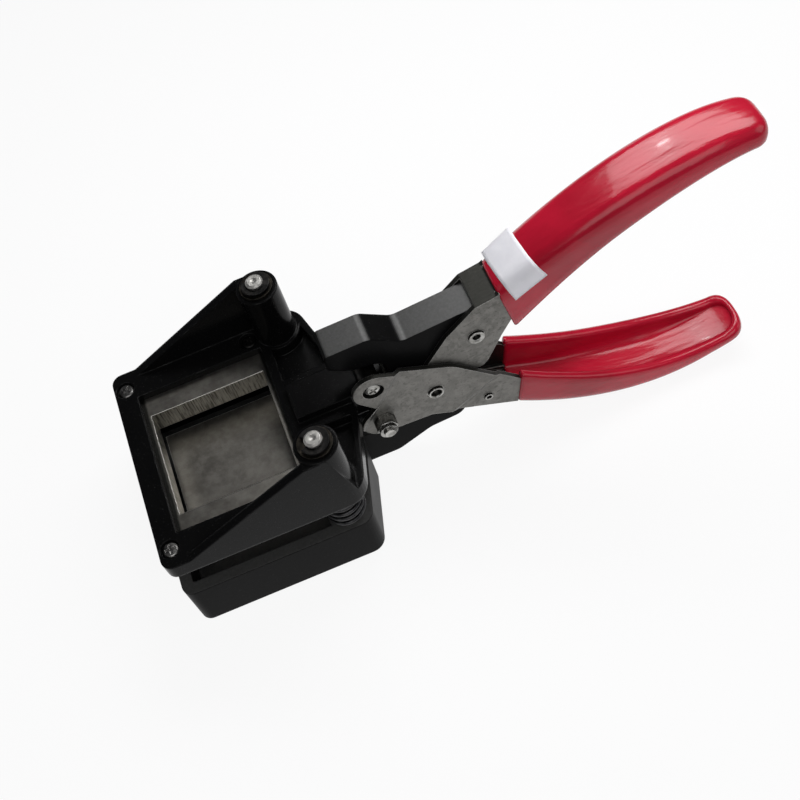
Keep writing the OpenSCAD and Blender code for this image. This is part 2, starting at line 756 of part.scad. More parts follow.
// One lever plate's section across a bend: half width i0 ahead of the bend at n, i1 behind it
module bent_section(n, i0, i1, from, to) {
  h = bend_run / 2;
  inner = [[from, i0], [n - h, i0], [n + h, i1], [to, i1]];
  polygon(concat(inner, [for (i = [3:-1:0]) inner[i] + [0, lever_t]]));
}

// The two plates as strips that run along a bend's own angle
module bent_strips(angle, n, i0, i1, from, to) {
  translate([pivot[0], 0, pivot[1]]) rotate([0, 90 - angle, 0]) translate([0, 0, -90]) linear_extrude(180) {
    bent_section(n, i0, i1, from, to);
    mirror([0, 1]) bent_section(n, i0, i1, from, to);
  }
}

// Lower handle: two bent plates and a channel with its back down
module lever_handle() {
  color("#8b8780") difference() {
    union() {
      intersection() {
        across(-fork_out - 1, fork_out + 1) lever2d();
        union() {
          bent_strips(fork_bend_angle, fork_bend, fork_in, lever_in, -60, 8);
          bent_strips(channel_bend_angle, channel_bend, lever_in, channel_in, -8, 80);
        }
      }
      channel_steel(lower_curve, -1, channel_out, lever_t, -steel_inset);
    }
    cross_bar(pivot, pivot_r + run_gap, -fork_out - 1, fork_out + 1);
    cross_bar(fork_pin, roller_r + 0.1, -fork_out - 1, fork_out + 1);
    cross_bar(drive_pin, fork_pin_r + seat_gap, -fork_out - 1, fork_out + 1);
    cross_bar(spacer_pos, spacer_r + seat_gap, -fork_out - 1, fork_out + 1);
  }
}

module lever_grip() {
  color("#c3162a") channel_grip(lower_curve, -1, channel_out, lever_t);
}

// Upper roller: a sleeve through both lobes that pushes the tongue down
module fork_roller() {
  half = fork_in + roller_proud;
  color("#4a4947") difference() {
    cross_bar(fork_pin, roller_r, -half, half);
    cross_bar(fork_pin, fork_pin_r + seat_gap, -half - 1, half + 1);
  }
}

// Crosshead screw through the upper roller, its head sunk in the near lobe
module fork_screw() {
  foot = [fork_pin[0], -fork_in - roller_proud - seat_gap, fork_pin[1]];
  color("#b5b2ab") translate(foot) rotate([90, 0, 0]) difference() {
    rotate_extrude() polygon([
      [0, -2 * fork_in - screw_tail],
      [fork_pin_r, -2 * fork_in - screw_tail],
      [fork_pin_r, 0],
      [fork_pin_r + 0.55, 0],
      [fork_pin_r + 0.55, 0.6],
      [fork_pin_r - 0.1, 0.9],
      [0, 1]
    ]);
    translate([0, 0, 1]) rotate(25) cross_slot(2.8, 0.6);
  }
}

module fork_nut() {
  color("#a5a39d") difference() {
    cross_hex(fork_pin, fork_nut_flats, fork_in + roller_proud + seat_gap, fork_out + 1.3);
    cross_bar(fork_pin, fork_pin_r + seat_gap, fork_in - 1, fork_out + 4);
  }
}

// Lower roller: a sleeve between the lever plates that lifts the tongue
module drive_roller() {
  half = lever_in - 0.15;
  color("#4a4947") difference() {
    cross_bar(drive_pin, roller_r, -half, half);
    cross_bar(drive_pin, fork_pin_r + seat_gap, -half - 1, half + 1);
  }
}

module drive_bolt() {
  color("#a5a39d") union() {
    cross_bar(drive_pin, fork_pin_r, -lever_out - bolt_tail, lever_out + seat_gap + 1);
    cross_hex(drive_pin, nut_flats, lever_out + seat_gap, lever_out + bolt_head_h);
  }
}

// Lock nut with a round collar on the near side
module lock_nut() {
  color("#8d8b86") difference() {
    union() {
      cross_hex(drive_pin, nut_flats, -lever_out - 3.4, -lever_out - seat_gap);
      cross_bar(drive_pin, nut_flats / 2 - 0.1, -lever_out - 4.6, -lever_out - seat_gap);
    }
    cross_bar(drive_pin, fork_pin_r + seat_gap, -lever_out - 7, -lever_out + 1);
  }
}

// Pin that ties the lever plates together ahead of the channel
module spacer_pin() {
  color("#a9a8a4") cross_bar(spacer_pos, spacer_r, 0.6 - channel_out, channel_out - 0.6);
}

base_casting();
punch_block();
punch_screw_front();
punch_screw_rear();
guide_post_near();
guide_post_far();
snap_ring_near();
snap_ring_far();
return_spring_near();
return_spring_far();
upper_handle();
upper_grip();
handle_rivet();
pivot_pin();
die_frame();
die_plate();
die_screw_front_near();
die_screw_front_far();
die_screw_rear_near();
die_screw_rear_far();
guide_bush_near();
guide_bush_far();
lever_handle();
lever_grip();
fork_roller();
fork_screw();
fork_nut();
drive_roller();
drive_bolt();
lock_nut();
spacer_pin();
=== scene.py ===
# %% [markdown]
# # A hand-held id photo punch
# The tool has a cast frame that slides on two posts, a steel die in its window, a forked lever and two
# handles in red dipped vinyl. The solids come from CAD. Here they get their finishes. The soft, wound and
# turned pieces that CAD keeps plain are made again as smooth meshes: both grips, both return springs and
# three hollow pins. A bare label and the floor of the lever's channel are added.

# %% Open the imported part
import math

import bmesh
import bpy
from mathutils import Matrix, Vector


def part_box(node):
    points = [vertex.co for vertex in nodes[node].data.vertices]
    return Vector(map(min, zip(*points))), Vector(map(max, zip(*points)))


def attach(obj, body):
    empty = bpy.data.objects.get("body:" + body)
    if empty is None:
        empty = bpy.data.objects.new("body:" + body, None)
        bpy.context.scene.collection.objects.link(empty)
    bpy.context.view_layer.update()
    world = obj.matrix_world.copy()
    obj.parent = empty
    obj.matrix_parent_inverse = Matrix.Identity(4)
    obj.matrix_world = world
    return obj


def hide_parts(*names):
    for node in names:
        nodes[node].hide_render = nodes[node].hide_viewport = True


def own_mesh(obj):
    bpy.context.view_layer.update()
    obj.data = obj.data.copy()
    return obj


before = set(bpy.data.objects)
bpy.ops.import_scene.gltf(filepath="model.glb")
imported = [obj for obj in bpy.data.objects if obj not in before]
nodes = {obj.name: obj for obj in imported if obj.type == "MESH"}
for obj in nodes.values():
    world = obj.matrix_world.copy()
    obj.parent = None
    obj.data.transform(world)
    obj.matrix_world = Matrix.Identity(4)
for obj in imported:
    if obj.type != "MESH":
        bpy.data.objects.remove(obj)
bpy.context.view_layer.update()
MM = 0.001


# %% [markdown]
# ## The viewpoint
# The photograph was taken from above the near side, with the camera rolled a little to the right. A camera
# could be turned by three Euler angles, but a spot, an aim point and a roll say the same in words that can
# be checked on a bench. A 56 mm lens on a 36 mm sensor gives the photograph's perspective in a square
# frame.

# %% Camera
camera_spot = Vector((39.54, -202.55, 326.69)) * MM
camera_aim = Vector((51.0, -8.09, 30.0)) * MM
camera_roll = math.radians(-19.45)


def into_scene(name, data):
    thing = bpy.data.objects.new(name, data)
    bpy.context.scene.collection.objects.link(thing)
    return thing


def looking(here, there):
    return Matrix.Translation(here) @ (there - here).to_track_quat("-Z", "Y").to_matrix().to_4x4()


eye = bpy.data.cameras.new("bench_camera")
eye.lens = 56.25
eye.sensor_width = 36.0
eye.clip_start = 0.01
camera = into_scene("bench_camera", eye)
camera.matrix_world = looking(camera_spot, camera_aim) @ Matrix.Rotation(camera_roll, 4, "Z")
bpy.context.scene.camera = camera
print("camera is", round((camera_aim - camera_spot).length / MM), "mm from what it looks at")

# %% [markdown]
# ## Shader sums in Python
# A finish is a small network of nodes. Adding each Math node by hand hides what is being worked out, so one
# class wraps an output socket: a sum of wires adds its own Math nodes, and `add` makes any other node from
# its type, its settings and the values or wires on its inputs. Colours are blended by Mix nodes, because a
# Math node would turn them grey.

# %% A wire between nodes
class Wire:
    def __init__(self, tree, socket=None):
        self.tree = tree
        self.socket = socket

    def add(self, kind, settings=(), inputs=(), out=0):
        made = self.tree.nodes.new(kind)
        for key, value in dict(settings).items():
            setattr(made, key, value)
        for key, value in dict(inputs).items():
            plug(value, made.inputs[key])
        return Wire(self.tree, made.outputs[out])

    def beside(self, name):
        return Wire(self.tree, self.socket.node.outputs[name])

    def maths(self, operation, a, b=0.0):
        return self.add("ShaderNodeMath", {"operation": operation}, {0: a, 1: b})

    def __add__(self, other):
        return self.maths("ADD", self, other)

    __radd__ = __add__

    def __sub__(self, other):
        return self.maths("SUBTRACT", self, other)

    def __rsub__(self, other):
        return self.maths("SUBTRACT", other, self)

    def __mul__(self, other):
        return self.maths("MULTIPLY", self, other)

    __rmul__ = __mul__

    def __truediv__(self, other):
        return self.maths("DIVIDE", self, other)

    def __rtruediv__(self, other):
        return self.maths("DIVIDE", other, self)

    def __pow__(self, other):
        return self.maths("POWER", self, other)

    def __abs__(self):
        return self.maths("ABSOLUTE", self)


def plug(value, socket):
    if isinstance(value, Wire):
        value.tree.links.new(value.socket, socket)
    else:
        socket.default_value = value


def begin(name):
    finish = bpy.data.materials.new(name)
    finish.use_nodes = True
    return finish, finish.node_tree.nodes["Principled BSDF"], Wire(finish.node_tree)


def feed(shader, **sockets):
    for name, value in sockets.items():
        plug(value, shader.inputs[name.replace("_", " ")])


print("wires ready: + - * / ** and abs on values, add() for every other node")

# %% [markdown]
# ## Patterns that several finishes share
# Object coordinates of these meshes are metres on the part, so a noise scale of 1000 means grains of a
# millimetre. Real edges are never sharp: the Bevel node looks up a rounded normal near an edge, which
# catches the light as a deburred edge does, and where it differs from the flat normal is where paint and
# plating wear.

# %% Grain, blotches, rounded edges
def tint(red, green, blue):
    return (red, green, blue, 1.0)


def spot(start):
    return start.add("ShaderNodeTexCoord", out="Object")


def part_of(start, vector, axis):
    return start.add("ShaderNodeSeparateXYZ", {}, {"Vector": vector}, out=axis)


def flat_normal(start):
    return start.add("ShaderNodeNewGeometry", out="Normal")


def facing(start, axis):
    return part_of(start, flat_normal(start), axis)


def stretched(start, place, x, y, z):
    return start.add("ShaderNodeVectorMath", {"operation": "MULTIPLY"}, {0: place, 1: (x, y, z)})


def grain(start, place, scale, detail=3.0, rough=0.55):
    return start.add("ShaderNodeTexNoise", {},
                     {"Vector": place, "Scale": scale, "Detail": detail, "Roughness": rough})


def between(start, value, low, high):
    return start.add("ShaderNodeMapRange", {"interpolation_type": "SMOOTHSTEP"},
                     {"Value": value, "From Min": low, "From Max": high})


def blend(start, mask, first, second):
    return start.add("ShaderNodeMix", {"data_type": "RGBA"}, {0: mask, 6: first, 7: second}, out=2)


def rounded(start, radius):
    return start.add("ShaderNodeBevel", {"samples": 6}, {"Radius": radius})


def edge_wear(start, soft, low, high):
    same = start.add("ShaderNodeVectorMath", {"operation": "DOT_PRODUCT"},
                     {0: soft, 1: flat_normal(start)}, out="Value")
    return between(start, 1.0 - same, low, high)


def relief(start, height, strength, depth, soft=None):
    inputs = {"Strength": strength, "Distance": depth, "Height": height}
    if soft is not None:
        inputs["Normal"] = soft
    return start.add("ShaderNodeBump", {}, inputs)


finishes = {}
print("patterns ready: grain, stretched grain, rounded edge, worn edge, relief")

# %% [markdown]
# ## Black enamel
# Frame and base are die castings sprayed with black enamel. It has the faint orange peel of sprayed paint,
# a few dust nibs, softly rounded edges, and a thin grey rub where a thumb or a table has polished an edge.
# The sliding frame is evenly black. The base and its arm were sprayed drier: they are satin and speckled.
# Their upward faces are painted grey in patches, partly for spray dust that settled there and partly as
# painted sheen of the light from above, and they also get a silky coat.

# %% Enamel on the castings
def enamel(name, matt, sheen, dark, light, speck, dust_and_sheen):
    dust_and_sheen_grey, nib_grey = tint(0.11, 0.11, 0.107), tint(0.10, 0.10, 0.098)
    rubbed_grey = tint(0.075, 0.075, 0.075)
    finish, shader, start = begin(name)
    place = spot(start)
    soft = rounded(start, 0.8 * MM)
    peel = grain(start, place, 700.0, 2.0)
    cloud = grain(start, place, 60.0, 4.0)
    nibs = between(start, grain(start, place, 2100.0, 2.0), 0.62, 0.74)
    rub = edge_wear(start, soft, 0.06, 0.3) * between(start, grain(start, place, 240.0, 4.0), 0.48, 0.7)
    # upward faces turn grey in patches: partly settled spray dust, partly painted sheen of the light from
    # above
    patches_on_top = 0.3 + 0.4 * grain(start, place, 1300.0, 4.0, 0.7)
    upward_dust_and_sheen = between(start, facing(start, "Z"), 0.86, 0.97) * patches_on_top
    paint = blend(start, cloud, tint(dark, dark, dark * 1.05), tint(light, light, light * 1.03))
    paint = blend(start, upward_dust_and_sheen * dust_and_sheen, paint, dust_and_sheen_grey)
    paint = blend(start, nibs * speck, paint, nib_grey)
    paint = blend(start, rub * 0.4, paint, rubbed_grey)
    feed(shader, Base_Color=paint, Roughness=matt + 0.14 * cloud + 0.1 * rub + 0.12 * nibs,
         Specular_IOR_Level=sheen, Coat_Weight=upward_dust_and_sheen * dust_and_sheen, Coat_Roughness=0.30,
         Normal=relief(start, peel + nibs * 0.5, 0.10, 0.12 * MM, soft))
    return finish


finishes["black_enamel"] = enamel("black_enamel", matt=0.11, sheen=0.06, dark=0.0022, light=0.0046,
                                  speck=0.10, dust_and_sheen=0.0)
finishes["satin_enamel"] = enamel("satin_enamel", matt=0.30, sheen=0.03, dark=0.0024, light=0.0050,
                                  speck=0.14, dust_and_sheen=0.75)
print("enamel nodes:", len(finishes["black_enamel"].node_tree.nodes))

# %% [markdown]
# ## Ground and turned steel
# The die and punch are ground flat, so their marks run one way and the cutting edges are bright. The die's
# cut walls carry upright grinding strokes and are painted lighter in them as a painted sheen. Its two
# narrow side ledges are painted near black as painted shade. The posts are turned, so their ends carry
# rings round
# the axis. Both are metals: their colour is the colour of the reflection, and the marks go into roughness
# and relief more than into colour.

# %% Ground die steel
def die_steel():
    stained, clean, groove = tint(0.15, 0.142, 0.127), tint(0.23, 0.22, 0.20), tint(0.08, 0.075, 0.067)
    wall_sheen_steel, edge_steel = tint(0.46, 0.445, 0.40), tint(0.72, 0.70, 0.66)
    ledge_shade_colour = tint(0.012, 0.012, 0.011)
    ledge_from, ledge_to = 18.4, 19.2
    finish, shader, start = begin("die_steel")
    place = spot(start)
    soft = rounded(start, 0.35 * MM)
    marks = grain(start, stretched(start, place, 0.03, 1.0, 1.0), 5200.0, 3.0, 0.7)
    stain = grain(start, place, 260.0, 6.0, 0.7)
    bright = edge_wear(start, soft, 0.02, 0.2)
    steel = blend(start, between(start, stain, 0.3, 0.72), stained, clean)
    steel = blend(start, marks * 0.35, steel, groove)
    up = facing(start, "Z")
    # painted sheen: the cut walls are painted lighter along upright grinding strokes
    strokes = grain(start, stretched(start, place, 1.0, 1.0, 0.06), 2600.0, 3.0, 0.6)
    wall = 1.0 - between(start, abs(up), 0.3, 0.6)
    steel = blend(start, wall * between(start, strokes, 0.35, 0.6), steel, wall_sheen_steel)
    # painted shade: the two narrow side ledges are painted near black
    out = abs(part_of(start, place, "X")) / MM
    ledge_shade = between(start, out + 1.2 * stain, ledge_from, ledge_to) * between(start, up, 0.5, 0.8)
    steel = blend(start, ledge_shade * 0.9, steel, ledge_shade_colour)
    steel = blend(start, bright, steel, edge_steel)
    feed(shader, Base_Color=steel, Metallic=1.0, Roughness=0.30 + 0.22 * stain - 0.08 * bright,
         Normal=relief(start, marks, 0.22, 0.06 * MM, soft))
    return finish


# %% Turned posts
post_axis = Vector((25.5, 28.0, 0.0)) * MM


def post_steel():
    ring_pitch = 0.42 * MM
    hazy, clean = tint(0.30, 0.295, 0.28), tint(0.46, 0.45, 0.43)
    ring_steel, edge_steel = tint(0.30, 0.29, 0.27), tint(0.85, 0.84, 0.81)
    finish, shader, start = begin("post_steel")
    place = spot(start)
    soft = rounded(start, 0.3 * MM)
    x = part_of(start, place, "X")
    along = x - post_axis.x
    across = abs(x.beside("Y")) - post_axis.y
    reach = (along * along + across * across) ** 0.5
    rings = 0.5 + 0.5 * start.maths("SINE", reach * (2 * math.pi / ring_pitch))
    haze = grain(start, place, 900.0, 4.0)
    bright = edge_wear(start, soft, 0.03, 0.25)
    steel = blend(start, between(start, haze, 0.4, 0.7), hazy, clean)
    steel = blend(start, rings * 0.3, steel, ring_steel)
    steel = blend(start, bright * 0.8, steel, edge_steel)
    feed(shader, Base_Color=steel, Metallic=1.0, Roughness=0.40 + 0.16 * haze,
         Normal=relief(start, rings, 0.25, 0.04 * MM, soft))
    return finish


finishes["die_steel"] = die_steel()
finishes["post_steel"] = post_steel()
print("steel finishes:", sorted(finishes))

# %% [markdown]
# ## Stamped handle steel
# Handles and lever are stamped from sheet and plated satin. Close up the sheet is a warm grey, mottled by
# pits and faint rolling marks, and lighter along its sheared edges. Faces that don't face sideways, such as
# the bent backs, and the insides are painted near black as painted shade. A face is inside where its normal
# points back at the middle of the tool, so the product of its normal's Y and its own Y tells the two sides
# of a plate apart.

# %% Satin sheet
def handle_steel():
    dark, light = tint(0.125, 0.122, 0.113), tint(0.195, 0.19, 0.178)
    pale_mottle, dark_blotch = tint(0.24, 0.232, 0.218), tint(0.055, 0.053, 0.047)
    painted_back_shade, painted_inside_shade = tint(0.013, 0.0135, 0.0115), tint(0.020, 0.020, 0.016)
    roll_mark, pit, edge_steel = tint(0.09, 0.088, 0.08), tint(0.06, 0.057, 0.05), tint(0.60, 0.59, 0.565)
    finish, shader, start = begin("handle_steel")
    place = spot(start)
    soft = rounded(start, 0.4 * MM)
    cloud = grain(start, place, 95.0, 5.0, 0.6)
    rolled = grain(start, stretched(start, place, 0.12, 1.0, 1.0), 1500.0, 3.0)
    pits = between(start, grain(start, place, 1900.0, 2.0), 0.63, 0.72)
    bright = edge_wear(start, soft, 0.03, 0.28)
    mottle = between(start, grain(start, place, 430.0, 5.0, 0.65), 0.42, 0.62)
    blotch = between(start, grain(start, place, 720.0, 4.0), 0.55, 0.68)
    sideways = facing(start, "Y")
    bent = 1.0 - between(start, abs(sideways), 0.25, 0.7)
    inside = between(start, sideways * part_of(start, place, "Y") / MM, -2.0, -4.0)
    sheet = blend(start, between(start, cloud, 0.32, 0.7), dark, light)
    sheet = blend(start, mottle * 0.55, sheet, pale_mottle)
    sheet = blend(start, blotch * 0.45, sheet, dark_blotch)
    # painted shade: faces that don't face sideways, and the insides, are painted near black
    sheet = blend(start, bent * 0.93, sheet, painted_back_shade)
    sheet = blend(start, inside * 0.9, sheet, painted_inside_shade)
    sheet = blend(start, rolled * 0.3, sheet, roll_mark)
    sheet = blend(start, pits * 0.6, sheet, pit)
    sheet = blend(start, bright * 0.7, sheet, edge_steel)
    feed(shader, Base_Color=sheet, Metallic=0.92, Roughness=0.40 + 0.18 * cloud + 0.1 * pits,
         Normal=relief(start, rolled - pits, 0.18, 0.07 * MM, soft))
    return finish


finishes["handle_steel"] = handle_steel()
print("satin sheet nodes:", len(finishes["handle_steel"].node_tree.nodes))

# %% [markdown]
# ## Small steel and bronze
# Screws, nuts and pins share one recipe with their own colour and gloss: a plated metal that is duller in
# blotches, with light edges. Pins and the bolt are bright, nuts and deck screws have gone dull. Springs are
# drawn wire, painted near black as painted shade. The rollers are painted near black as painted shade of
# the holes they sit in. Snap rings are blackened, and the sintered guide bushes are near black. A pin's
# sides and
# bores are painted dark as painted shade: what doesn't face along the pin, which lies across the tool in Y,
# is darkened. Each row below gives the dull and the clean colour, how matt it is, how light the edges are
# and how much painted shade darkens the walls.

# %% One recipe for small metal
def small_metal(name, dull, clean, matt, edge, hollow_shade):
    hollow_shade_colour = tint(0.010, 0.0095, 0.008)
    finish, shader, start = begin(name)
    place = spot(start)
    soft = rounded(start, 0.22 * MM)
    blotch = grain(start, place, 420.0, 5.0, 0.62)
    scuff = grain(start, stretched(start, place, 1.0, 0.15, 1.0), 2400.0, 2.0)
    bright = edge_wear(start, soft, 0.03, 0.3)
    metal = blend(start, between(start, blotch, 0.34, 0.68), tint(*dull), tint(*clean))
    metal = blend(start, bright * edge, metal, tint(*(min(1.0, 1.5 * c + 0.1) for c in clean)))
    # painted shade: walls that don't face along the pin are darkened
    if hollow_shade:
        shaded_walls = 1.0 - between(start, abs(facing(start, "Y")), 0.35, 0.75)
        metal = blend(start, shaded_walls * hollow_shade, metal, hollow_shade_colour)
    feed(shader, Base_Color=metal, Metallic=1.0, Roughness=matt + 0.2 * blotch,
         Normal=relief(start, scuff, 0.15, 0.04 * MM, soft))
    return finish


small_metals = {
    "fastener_steel": ((0.24, 0.235, 0.22), (0.55, 0.545, 0.525), 0.22, 0.8, 0.0),
    "dull_steel": ((0.085, 0.083, 0.08), (0.26, 0.255, 0.245), 0.24, 0.8, 0.0),
    # pins: the last number paints shade on their sides and bores
    "pin_steel": ((0.24, 0.235, 0.22), (0.50, 0.495, 0.475), 0.26, 0.4, 0.95),
    "nut_steel": ((0.06, 0.058, 0.054), (0.40, 0.395, 0.38), 0.16, 0.8, 0.0),
    # springs: near black as painted shade
    "spring_steel": ((0.02, 0.02, 0.021), (0.065, 0.065, 0.067), 0.28, 0.3, 0.0),
    # rollers: near black as painted shade of the holes they sit in
    "roller_steel": ((0.022, 0.021, 0.020), (0.07, 0.068, 0.065), 0.26, 0.5, 0.0),
    "black_ring": ((0.008, 0.008, 0.008), (0.024, 0.023, 0.022), 0.36, 0.2, 0.0),
    "bush_bronze": ((0.010, 0.009, 0.008), (0.034, 0.030, 0.024), 0.38, 0.2, 0.0),
}
for name, recipe in small_metals.items():
    finishes[name] = small_metal(name, *recipe)
print("small metals made:", ", ".join(small_metals))

# %% [markdown]
# ## Red dipped vinyl
# The hot handles are dipped into liquid vinyl, which sets as a thick glossy skin. Its colour is deep and
# nearly even, its gloss is high, and the skin flows a little before it sets, so reflections have long wavy
# borders that run with the handle. A thin coat on top of a softer base gives that double highlight.

# %% Vinyl on the grips
def red_vinyl():
    deep, clear, mote_red = tint(0.34, 0.0042, 0.018), tint(0.45, 0.0066, 0.027), tint(0.20, 0.005, 0.012)
    finish, shader, start = begin("red_vinyl")
    place = spot(start)
    flow = grain(start, stretched(start, place, 0.16, 1.0, 0.5), 210.0, 3.0, 0.45)
    cloud = grain(start, place, 45.0, 3.0)
    fine = grain(start, place, 1500.0, 2.0)
    motes = between(start, grain(start, place, 2100.0, 1.0), 0.71, 0.77)
    skin = blend(start, between(start, cloud, 0.3, 0.7), deep, clear)
    skin = blend(start, motes * 0.3, skin, mote_red)
    feed(shader, Base_Color=skin, Roughness=0.15 + 0.08 * flow + 0.04 * fine, Specular_IOR_Level=0.27,
         Coat_Weight=0.15, Coat_Roughness=0.06,
         Normal=relief(start, flow + 0.02 * fine, 0.75, 0.7 * MM))
    return finish


# %% Bare paper label
def label_paper():
    grey_sheet, white_sheet = tint(0.78, 0.775, 0.82), tint(0.86, 0.855, 0.895)
    fibre_grey = tint(0.68, 0.67, 0.715)
    finish, shader, start = begin("label_paper")
    place = spot(start)
    fibre = grain(start, stretched(start, place, 1.0, 0.3, 1.0), 1700.0, 4.0, 0.65)
    cloud = grain(start, place, 130.0, 3.0)
    sheet = blend(start, between(start, cloud, 0.3, 0.7), grey_sheet, white_sheet)
    sheet = blend(start, fibre * 0.2, sheet, fibre_grey)
    feed(shader, Base_Color=sheet, Roughness=0.55 + 0.2 * fibre,
         Normal=relief(start, fibre, 0.2, 0.03 * MM))
    return finish


finishes["red_vinyl"] = red_vinyl()
finishes["label_paper"] = label_paper()
print("finishes in all:", len(finishes))

# %% [markdown]
# ## Dress the CAD pieces
# Each solid that keeps its CAD shape only needs its finish. The list goes by what a maker would order
# together. The grips, springs and pins are on it too, though meshes that are made further down replace
# them.

# %% Which piece has which finish
dressed = {
    "black_enamel": ["die_frame"],
    "satin_enamel": ["base_casting"],
    "die_steel": ["punch_block", "die_plate"],
    "post_steel": ["guide_post_near", "guide_post_far"],
    "fastener_steel": ["punch_screw_front", "punch_screw_rear", "fork_screw", "drive_bolt"],
    "pin_steel": ["handle_rivet", "pivot_pin", "spacer_pin"],
    "dull_steel": ["die_screw_front_near", "die_screw_front_far", "fork_nut"],
    "nut_steel": ["lock_nut"],
    "black_ring": ["snap_ring_near", "snap_ring_far", "die_screw_rear_near", "die_screw_rear_far"],
    "bush_bronze": ["guide_bush_near", "guide_bush_far"],
    "spring_steel": ["return_spring_near", "return_spring_far"],
    "handle_steel": ["upper_handle", "lever_handle"],
    "red_vinyl": ["upper_grip", "lever_grip"],
    "roller_steel": ["fork_roller", "drive_roller"],
}


def dress(piece, finish):
    if not piece.material_slots:
        piece.data.materials.append(finish)
    for slot in piece.material_slots:
        slot.material = finish


for finish_name, names in dressed.items():
    for name in names:
        dress(nodes[name], finishes[finish_name])
left_out = sorted(set(nodes) - {n for names in dressed.values() for n in names})
print("dressed", sum(map(len, dressed.values())), "CAD pieces; without a finish:", left_out)

# %% [markdown]
# ## The grips
# Under each grip lies a steel channel whose back follows a gentle curve. Vinyl wraps it all round: over the
# back, down both sides, over the lips and back inside, and at the tip it closes to a spoon. A voxel remesh
# of the CAD solid would blur its lips, so the skin is lofted: one closed loop of points at each station
# along the back line, joined to the next. Sizes are in mm. `flip` turns the lower channel over, and `wall`
# is its sheet. `half` is half the channel's width at its root, and `flare` adds to it by a sine through
# `turn` degrees. `depths` are the channel's at root, middle and tip, `lip` is how much deeper the vinyl
# hangs at the front, and `rim` is where it starts. Near the tip the outside runs further than the inside,
# which leaves a rounded end wall.

# %% Back lines of the two handles
pivot = Vector((61.5, 27.2))


def offsets(*pairs):
    return [pivot + Vector(p) for p in pairs]


handles = {
    "upper": {"line": offsets((23.2, 29.2), (47.34, 45.0), (78.81, 56.4), (97.8, 53.2)), "flip": 1.0,
              "half": 6.5, "wall": 1.6, "flare": 1.7, "turn": 150.0, "depths": (12.8, 8.3, 4.8),
              "lip": 3.2, "rim": 0.6},
    "lower": {"line": offsets((22.5, -23.4), (43.67, -37.2), (72.54, -45.4), (94.6, -38.0)), "flip": -1.0,
              "half": 7.3, "wall": 1.5, "flare": 2.2, "turn": 170.0, "depths": (11.6, 9.0, 3.4),
              "lip": 2.0, "rim": 0.9},
}
skin_out, skin_in, tip_reach = 0.92, 0.85, 5.6
lip_share = 0.42
root_lean, lean_share = 0.3, 0.3


def on_line(line, t):
    a, b, c, d = line
    s = 1.0 - t
    return s ** 3 * a + 3 * t * s * s * b + 3 * t * t * s * c + t ** 3 * d


def heading(line, t):
    a, b, c, d = line
    s = 1.0 - t
    return (s * s * (b - a) + 2 * t * s * (c - b) + t * t * (d - c)).normalized()


def section_heading(line, t):
    run = heading(line, t)
    angle = math.atan2(run.y, run.x) * (root_lean + (1 - root_lean) * min(1.0, t / lean_share))
    return Vector((math.cos(angle), math.sin(angle)))


def depth_at(handle, t):
    root, middle, tip = handle["depths"]
    front_lip = handle["lip"] * max(0.0, 1 - t / lip_share) ** 2
    return root * (1 - t) * (1 - 2 * t) + 4 * middle * t * (1 - t) + tip * t * (2 * t - 1) + front_lip


for name, handle in handles.items():
    line, steps = handle["line"], 60
    length = sum((on_line(line, (i + 1) / steps) - on_line(line, i / steps)).length for i in range(steps))
    handle["length"] = length
    print(name, "handle's back line is", round(length, 1), "mm long")

# %% [markdown]
# ### One loop of the skin
# A loop starts at one lip, goes over the back to the other and returns inside. Its outside is a channel
# with wide round corners and a slightly crowned back, its lips are half rounds. `ease` draws the loop in at
# the front rim, and `grow` lifts it for what lies on the vinyl. Over the last stretch width and depth close
# up by a blunt curve, because a dipped tip is nearly square.

# %% Loop of a grip
wall_steps, corner_steps, back_steps, lip_steps = 4, 7, 5, 5
lip_round, back_corner, back_crown = 1.5, 4.2, 0.3
out_close, out_wide, out_tall = 7.0, (2.8, 2.7), (3.6, 2.4)
in_close, in_wide, in_tall = 6.0, (2.6, 2.4), (2.6, 2.2)
end_wall, in_corner_root, in_corner_growth = 2.0, 1.4, 3.6


def channel_run(half, top, low, corner, crown):
    run = [(-half, low + (top - corner - low) * i / wall_steps) for i in range(wall_steps + 1)]
    for i in range(1, corner_steps + 1):
        a = math.pi - math.pi / 2 * i / corner_steps
        run.append((-half + corner + corner * math.cos(a), top - corner + corner * math.sin(a)))
    for i in range(1, back_steps + 1):
        run.append((-half + corner + (2 * half - 2 * corner) * i / back_steps, top))
    for i in range(1, corner_steps + 1):
        a = math.pi / 2 - math.pi / 2 * i / corner_steps
        run.append((half - corner + corner * math.cos(a), top - corner + corner * math.sin(a)))
    run += [(half, top - corner + (low - top + corner) * i / wall_steps) for i in range(1, wall_steps + 1)]
    return [(y, c + crown * (1 - (y / half) ** 2) * max(0.0, (c - low) / (top - low)) ** 2) for y, c in run]


def close_up(x, power, root):
    return max(0.0, 1.0 - min(1.0, max(0.0, x)) ** power) ** (1.0 / root)


def loft_point(handle, along, y, c):
    line, flip = handle["line"], handle["flip"]
    t = min(1.0, along / handle["length"])
    place = on_line(line, t) + heading(line, t) * max(0.0, along - handle["length"])
    u = section_heading(line, t)
    return Vector((place.x - flip * c * u.y, flip * y, place.y + flip * c * u.x)) * MM


def grip_outside(handle, along, ease=0.0, grow=0.0):
    total = handle["length"] + tip_reach
    t = min(1.0, along / handle["length"])
    half = handle["half"] + handle["flare"] * math.sin(math.radians(handle["turn"] * t)) + skin_out - ease
    lip, top = -depth_at(handle, t) - skin_out + ease, skin_out - ease
    low = lip + lip_round
    x = (along - (total - out_close)) / out_close
    wide, tall = close_up(x, *out_wide), close_up(x, *out_tall)
    least_half, least_rise = 0.05, 0.06
    half_out = max(least_half, half * wide)
    top_out = low + max(least_rise, (top - low) * tall)
    corner = min(back_corner, half_out * 0.62, (top_out - low) * 0.8)
    run = channel_run(half_out + grow, top_out + grow, low, corner + grow, back_crown * tall)
    return run, half, low, lip, top


